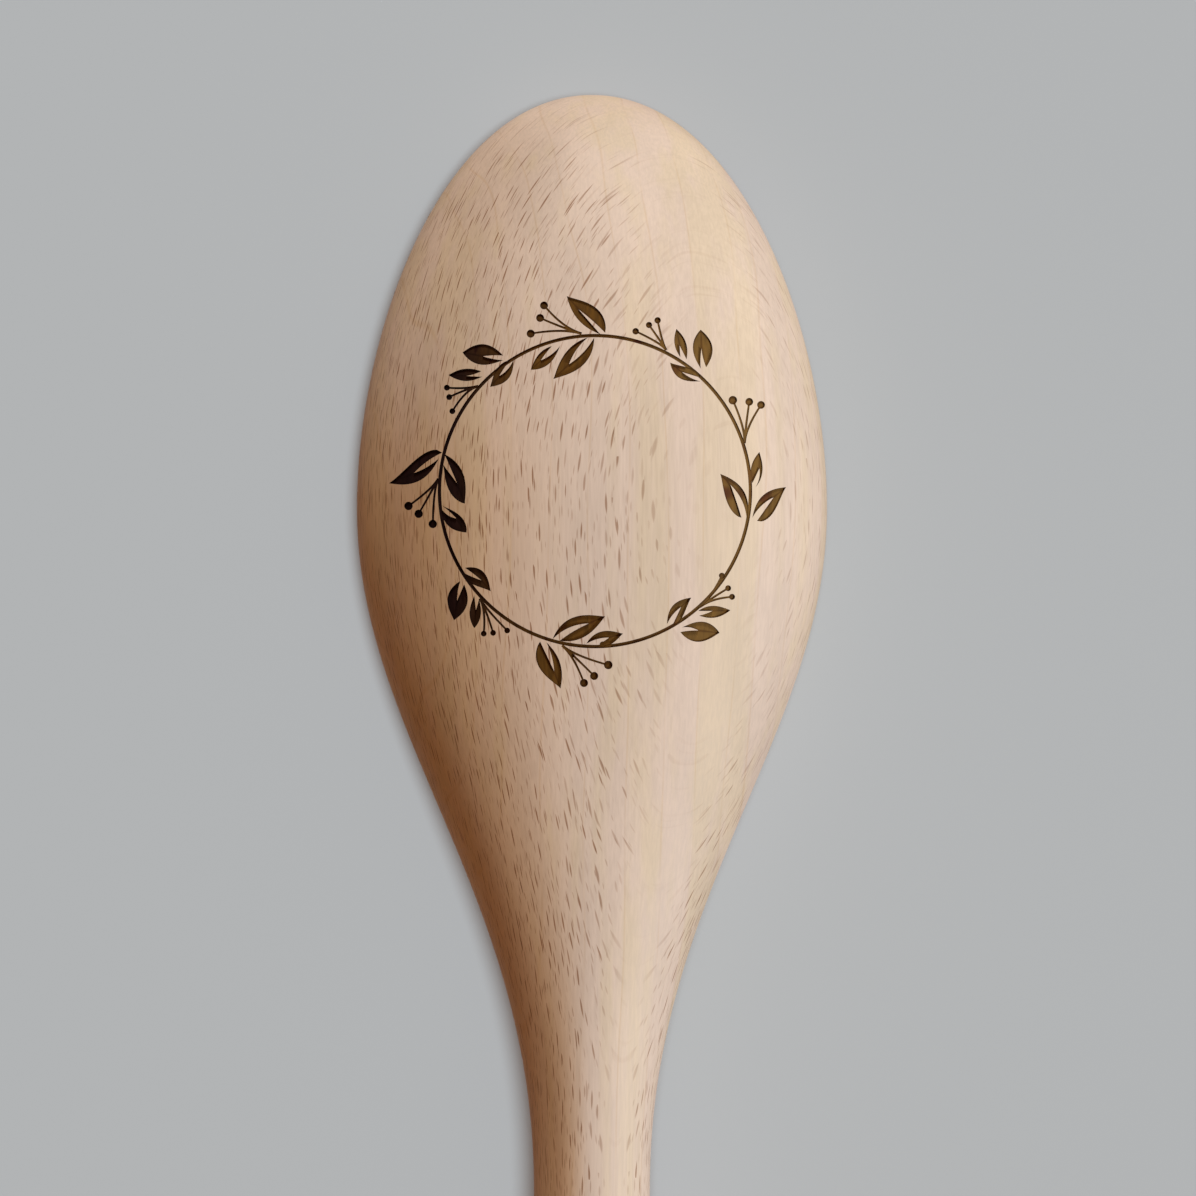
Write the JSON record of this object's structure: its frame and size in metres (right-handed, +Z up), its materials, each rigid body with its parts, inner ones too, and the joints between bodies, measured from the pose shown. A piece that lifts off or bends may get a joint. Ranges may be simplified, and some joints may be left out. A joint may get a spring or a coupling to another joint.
{
  "type": "wooden cooking spoon",
  "caption": "Turned wooden cooking spoon: oval bowl with a hollowed face, rounded back and flat rim, flowing through its shoulders into a long round handle.",
  "frame": {"origin": "on the surface the spoon lies on, face down, halfway along it and on its centre line", "axes": "+Y along the spoon towards the tip of the bowl, -Y along the handle, +Z up out of the rounded back, X across the bowl"},
  "size_m": [0.06, 0.3, 0.022],
  "materials": {
    "beech": "sanded, unvarnished"
  },
  "bodies": {
    "root": {"spoon": "beech"}
  },
  "joints": []
}
